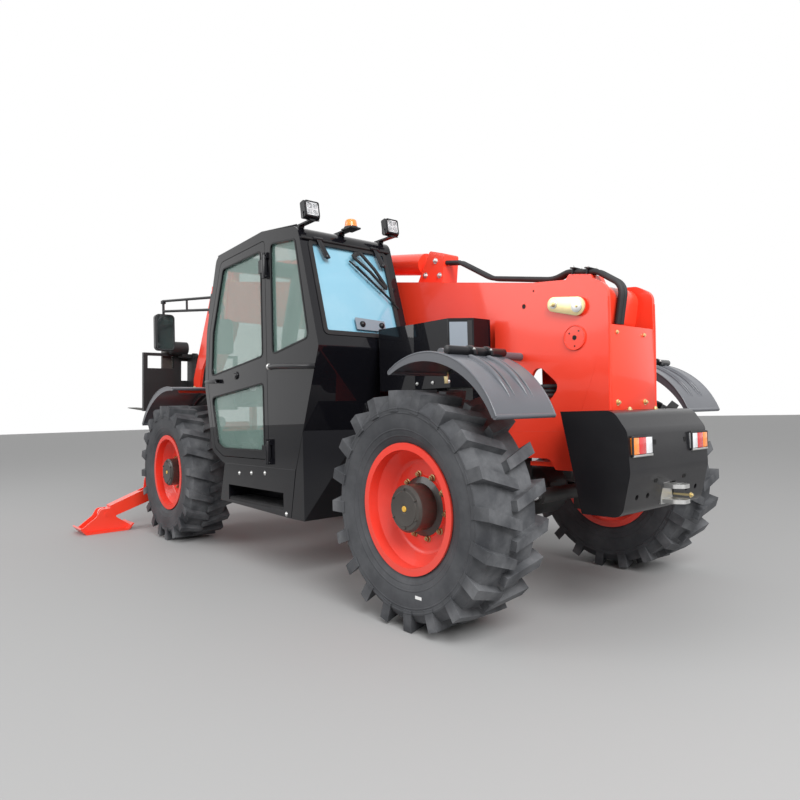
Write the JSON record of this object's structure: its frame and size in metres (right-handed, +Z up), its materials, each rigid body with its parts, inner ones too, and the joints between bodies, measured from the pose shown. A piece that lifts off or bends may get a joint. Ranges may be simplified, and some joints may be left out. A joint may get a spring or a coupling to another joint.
{
  "type": "telehandler",
  "caption": "Telescopic handler with a fork carriage, side cab, four-wheel steering and two front stabilisers; boom lifts, extends and tilts its forks.",
  "frame": {"origin": "on the ground, in the middle of the machine over all, on its centre plane", "axes": "+X forward towards the forks, +Y to the left, the cab side, +Z up"},
  "size_m": [7.6315, 3.22, 2.762],
  "materials": {
    "red_paint": "glossy red-orange paint",
    "black_paint": "glossy black paint",
    "black_satin": "satin black paint",
    "rubber": "matt tyre rubber",
    "glass": "greenish tinted glass",
    "steel": "plated and ground steel",
    "dark_plastic": "dark grey moulded plastic",
    "seat_cover": "black seat fabric",
    "lamp": "lamp lens",
    "zinc": "yellow zinc plating"
  },
  "bodies": {
    "root": {"chassis_frame": "red_paint", "boom_mast": "red_paint", "counterweight": "black_satin", "tow_hitch": "zinc", "road_lamps": "lamp", "cab_frame": "black_paint", "cab_glass": "glass", "cab_seat": "seat_cover", "cab_controls": "dark_plastic", "cab_step": "black_paint", "side_body": "black_paint", "fenders": "dark_plastic", "front_axle": "black_satin", "rear_axle": "black_satin", "engine_pod": "black_paint", "engine_block": "black_satin", "roof_lamps": "lamp", "mirrors": "black_satin", "stabiliser_beam": "red_paint", "driveline": "black_satin", "mast_hoses": "rubber", "exhaust": "black_satin"},
    "door": {"cab_door": "black_paint", "door_glass": "glass"},
    "hood": {"engine_hood": "black_paint"},
    "steering_front_left": {"knuckle_front_left": "black_satin"},
    "wheel_front_left": {"rim_front_left": "red_paint", "tyre_front_left": "rubber"},
    "steering_front_right": {"knuckle_front_right": "black_satin"},
    "wheel_front_right": {"rim_front_right": "red_paint", "tyre_front_right": "rubber"},
    "steering_rear_left": {"knuckle_rear_left": "black_satin"},
    "wheel_rear_left": {"rim_rear_left": "red_paint", "tyre_rear_left": "rubber"},
    "steering_rear_right": {"knuckle_rear_right": "black_satin"},
    "wheel_rear_right": {"rim_rear_right": "red_paint", "tyre_rear_right": "rubber"},
    "front_steering_rod": {"front_steering_rod": "steel"},
    "rear_steering_rod": {"rear_steering_rod": "steel"},
    "boom": {"boom_outer": "red_paint", "top_cylinder": "red_paint", "boom_hoses": "rubber"},
    "boom_middle": {"boom_middle": "red_paint"},
    "boom_inner": {"boom_inner": "red_paint"},
    "carriage": {"fork_carriage": "black_satin", "forks": "black_satin"},
    "lift_barrel": {"lift_barrel": "black_satin"},
    "lift_rod": {"lift_rod": "steel"},
    "tilt_barrel": {"tilt_barrel": "black_satin"},
    "tilt_rod": {"tilt_rod": "steel"},
    "stabiliser_leg_left": {"stabiliser_leg_left": "red_paint"},
    "stabiliser_foot_left": {"stabiliser_foot_left": "red_paint"},
    "stabiliser_barrel_left": {"stabiliser_barrel_left": "black_satin"},
    "stabiliser_rod_left": {"stabiliser_rod_left": "steel"},
    "stabiliser_leg_right": {"stabiliser_leg_right": "red_paint"},
    "stabiliser_foot_right": {"stabiliser_foot_right": "red_paint"},
    "stabiliser_barrel_right": {"stabiliser_barrel_right": "black_satin"},
    "stabiliser_rod_right": {"stabiliser_rod_right": "steel"}
  },
  "joints": [
    {"name": "steer_front_left", "type": "hinge", "parent": "root", "child": "steering_front_left", "pos_m": [0.37, 0.64, 0.595], "axis": [0, 0, 1], "range_deg": [-28, 28]},
    {"name": "steer_front_right", "type": "hinge", "parent": "root", "child": "steering_front_right", "pos_m": [0.37, -0.64, 0.595], "axis": [0, 0, 1], "range_deg": [-28, 28]},
    {"name": "steer_rod_front", "type": "slide", "parent": "root", "child": "front_steering_rod", "axis": [0, 1, 0], "range_m": [-0.0959, 0.0959]},
    {"name": "steer_rear_left", "type": "hinge", "parent": "root", "child": "steering_rear_left", "pos_m": [-2.9, 0.64, 0.595], "axis": [0, 0, 1], "range_deg": [-28, 28]},
    {"name": "steer_rear_right", "type": "hinge", "parent": "root", "child": "steering_rear_right", "pos_m": [-2.9, -0.64, 0.595], "axis": [0, 0, 1], "range_deg": [-28, 28]},
    {"name": "steer_rod_rear", "type": "slide", "parent": "root", "child": "rear_steering_rod", "axis": [0, 1, 0], "range_m": [-0.0959, 0.0959]},
    {"name": "spin_front_left", "type": "hinge", "parent": "steering_front_left", "child": "wheel_front_left", "pos_m": [0.37, 0.9, 0.595], "axis": [0, 1, 0], "continuous": true},
    {"name": "spin_front_right", "type": "hinge", "parent": "steering_front_right", "child": "wheel_front_right", "pos_m": [0.37, -0.9, 0.595], "axis": [0, 1, 0], "continuous": true},
    {"name": "spin_rear_left", "type": "hinge", "parent": "steering_rear_left", "child": "wheel_rear_left", "pos_m": [-2.9, 0.9, 0.595], "axis": [0, 1, 0], "continuous": true},
    {"name": "spin_rear_right", "type": "hinge", "parent": "steering_rear_right", "child": "wheel_rear_right", "pos_m": [-2.9, -0.9, 0.595], "axis": [0, 1, 0], "continuous": true},
    {"name": "boom_lift", "type": "hinge", "parent": "root", "child": "boom", "pos_m": [-3.38, 0, 1.61], "axis": [0, -1, 0], "range_deg": [-12, 50]},
    {"name": "extend_middle", "type": "slide", "parent": "boom", "child": "boom_middle", "axis": [0.9848, 0, 0.1736], "range_m": [0, 1.9]},
    {"name": "extend_inner", "type": "slide", "parent": "boom_middle", "child": "boom_inner", "axis": [0.9848, 0, 0.1736], "range_m": [0, 1.9]},
    {"name": "carriage_tilt", "type": "hinge", "parent": "boom_inner", "child": "carriage", "pos_m": [1.98, 0, 1.4], "axis": [0, 1, 0], "range_deg": [-15, 35]},
    {"name": "lift_swing", "type": "hinge", "parent": "root", "child": "lift_barrel", "pos_m": [-3.1, 0, 0.95], "axis": [0, -1, 0], "range_deg": [-10.15, 41.68]},
    {"name": "lift_stroke", "type": "slide", "parent": "lift_barrel", "child": "lift_rod", "axis": [0.8985, 0, 0.4389], "range_m": [-0.1411, 0.5817]},
    {"name": "tilt_swing", "type": "hinge", "parent": "boom_inner", "child": "tilt_barrel", "pos_m": [1.45, 0, 2.05], "axis": [0, -1, 0], "range_deg": [-4.86, 2.2]},
    {"name": "tilt_stroke", "type": "slide", "parent": "tilt_barrel", "child": "tilt_rod", "axis": [0.9471, 0, -0.3208], "range_m": [-0.1135, 0.2622]},
    {"name": "leg_left", "type": "hinge", "parent": "root", "child": "stabiliser_leg_left", "pos_m": [1.28, 0.4, 0.52], "axis": [1, 0, 0], "range_deg": [0, 70]},
    {"name": "foot_left", "type": "hinge", "parent": "stabiliser_leg_left", "child": "stabiliser_foot_left", "pos_m": [1.28, 1.36, 0.17], "axis": [1, 0, 0], "range_deg": [-15, 15]},
    {"name": "jack_swing_left", "type": "hinge", "parent": "root", "child": "stabiliser_barrel_left", "pos_m": [1.28, 0.1, 0.95], "axis": [1, 0, 0], "range_deg": [-0.2, 34.6]},
    {"name": "jack_stroke_left", "type": "slide", "parent": "stabiliser_barrel_left", "child": "stabiliser_rod_left", "axis": [0, 0.8566, -0.5161], "range_m": [-0.3872, 0.002]},
    {"name": "leg_right", "type": "hinge", "parent": "root", "child": "stabiliser_leg_right", "pos_m": [1.28, -0.4, 0.52], "axis": [-1, 0, 0], "range_deg": [0, 70]},
    {"name": "foot_right", "type": "hinge", "parent": "stabiliser_leg_right", "child": "stabiliser_foot_right", "pos_m": [1.28, -1.36, 0.17], "axis": [-1, 0, 0], "range_deg": [-15, 15]},
    {"name": "jack_swing_right", "type": "hinge", "parent": "root", "child": "stabiliser_barrel_right", "pos_m": [1.28, -0.1, 0.95], "axis": [-1, 0, 0], "range_deg": [-0.2, 34.6]},
    {"name": "jack_stroke_right", "type": "slide", "parent": "stabiliser_barrel_right", "child": "stabiliser_rod_right", "axis": [0, -0.8566, -0.5161], "range_m": [-0.3872, 0.002]},
    {"name": "door_swing", "type": "hinge", "parent": "root", "child": "door", "pos_m": [-1.4, 1.02, 1.5], "axis": [0, 0, 1], "range_deg": [0, 95]},
    {"name": "hood_swing", "type": "hinge", "parent": "root", "child": "hood", "pos_m": [-1.24, -0.24, 1.3], "axis": [-1, 0, 0], "range_deg": [0, 60]}
  ],
  "couplings": [
    {"joint": "steer_front_right", "follows": "steer_front_left", "ratio": 1},
    {"joint": "steer_rod_front", "follows": "steer_front_left", "m_per_rad": 0.19213},
    {"joint": "steer_rear_right", "follows": "steer_rear_left", "ratio": 1},
    {"joint": "steer_rod_rear", "follows": "steer_rear_left", "m_per_rad": -0.19213},
    {"joint": "extend_inner", "follows": "extend_middle", "ratio": 1},
    {"joint": "lift_swing", "follows": "boom_lift", "ratio": 0.8296},
    {"joint": "lift_stroke", "follows": "boom_lift", "m_per_rad": 0.66434},
    {"joint": "tilt_swing", "follows": "carriage_tilt", "ratio": -0.1332},
    {"joint": "tilt_stroke", "follows": "carriage_tilt", "m_per_rad": 0.42591},
    {"joint": "jack_swing_left", "follows": "leg_left", "ratio": 0.4915},
    {"joint": "jack_stroke_left", "follows": "leg_left", "m_per_rad": -0.31525},
    {"joint": "jack_swing_right", "follows": "leg_right", "ratio": 0.4915},
    {"joint": "jack_stroke_right", "follows": "leg_right", "m_per_rad": -0.31525}
  ]
}
